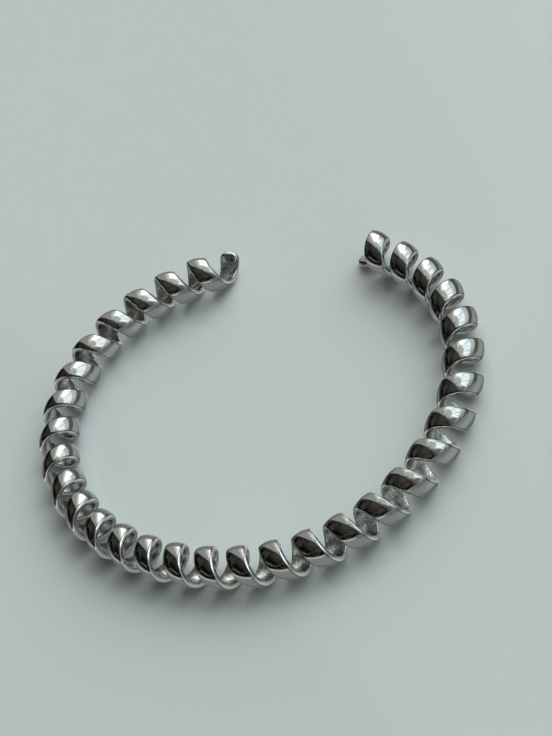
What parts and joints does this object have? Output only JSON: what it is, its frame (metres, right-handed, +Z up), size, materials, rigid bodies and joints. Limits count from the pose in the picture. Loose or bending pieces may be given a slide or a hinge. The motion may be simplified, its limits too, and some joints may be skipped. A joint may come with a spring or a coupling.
{
  "type": "spiral coil cuff bracelet",
  "caption": "Open oval cuff bracelet: one polished metal band, domed outside and flat inside, wound like a spring, the coil bent round the wrist with a gap between its two rounded ends.",
  "frame": {"origin": "middle of the cuff's bounding box, on the surface that it lies on", "axes": "+Z up from that surface, +X along the long way of the oval, +Y towards the gap between the ends"},
  "size_m": [0.0674, 0.0563, 0.0058],
  "materials": {
    "polished_steel": "mirror polished outside, duller and finely grained inside the coil"
  },
  "bodies": {
    "root": {"coil_band": "polished_steel"}
  },
  "joints": []
}
